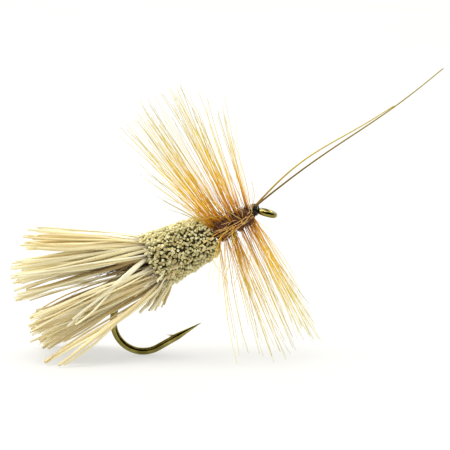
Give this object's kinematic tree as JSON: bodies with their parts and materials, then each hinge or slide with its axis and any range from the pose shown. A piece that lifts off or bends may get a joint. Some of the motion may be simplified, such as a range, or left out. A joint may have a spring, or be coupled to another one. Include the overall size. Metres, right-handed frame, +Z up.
{
  "type": "dry fly",
  "caption": "Deer-hair caddis dry fly on a barbed down-eye hook: clipped hair body, uncut hair fan at the rear, ginger hackle and two stripped-quill antennae.",
  "frame": {"origin": "middle of the fly's box, on the surface it stands on", "axes": "+Z up, +X from the hair fan at the rear towards the hook eye and antennae, +Y to the fly's left; the hook lies in the plane Y = 0"},
  "size_m": [0.0368, 0.0252, 0.0257],
  "materials": {
    "hook_bronze": "satin",
    "tying_thread": "satin",
    "head_lacquer": "gloss",
    "thorax_wool": "matte",
    "hackle_quill": "satin",
    "hackle_ginger": "satin",
    "deer_hair_clipped": "matte",
    "deer_hair_uncut": "matte",
    "antenna_quill_left": "satin",
    "antenna_quill_right": "satin"
  },
  "bodies": {
    "root": {"hook": "hook_bronze", "thread_base": "tying_thread", "body_thread_bands": "tying_thread", "tail_thread_band": "tying_thread", "whip_finish": "tying_thread", "thread_head": "tying_thread", "head_lacquer": "head_lacquer", "thorax_underbody": "thorax_wool", "hackle_stem_front": "hackle_quill", "hackle_stem_rear": "hackle_quill", "hackle_barbs_front": "hackle_ginger", "hackle_barbs_rear": "hackle_ginger", "body_bunch_1": "deer_hair_clipped", "body_bunch_2": "deer_hair_clipped", "body_bunch_3": "deer_hair_clipped", "body_bunch_4": "deer_hair_clipped", "body_bunch_5": "deer_hair_clipped", "tail_hair_bottom": "deer_hair_uncut", "tail_hair_lower": "deer_hair_uncut", "tail_hair_middle": "deer_hair_uncut", "tail_hair_upper": "deer_hair_uncut", "tail_hair_top": "deer_hair_uncut", "antenna_left_base": "antenna_quill_left", "antenna_right_base": "antenna_quill_right"},
    "antenna_left": {"antenna_left_tip": "antenna_quill_left"},
    "antenna_right": {"antenna_right_tip": "antenna_quill_right"}
  },
  "joints": [
    {"name": "antenna_left_flex", "type": "hinge", "parent": "root", "child": "antenna_left", "pos_m": [0.00418, 0.00035, 0.01482], "axis": [0.342, -0.9397, 0], "range_deg": [-30, 30], "stiffness_Nm_per_rad": 0.0000068},
    {"name": "antenna_right_flex", "type": "hinge", "parent": "root", "child": "antenna_right", "pos_m": [0.00499, -0.00065, 0.0151], "axis": [-0.342, -0.9397, 0], "range_deg": [-30, 30], "stiffness_Nm_per_rad": 0.0000048}
  ]
}
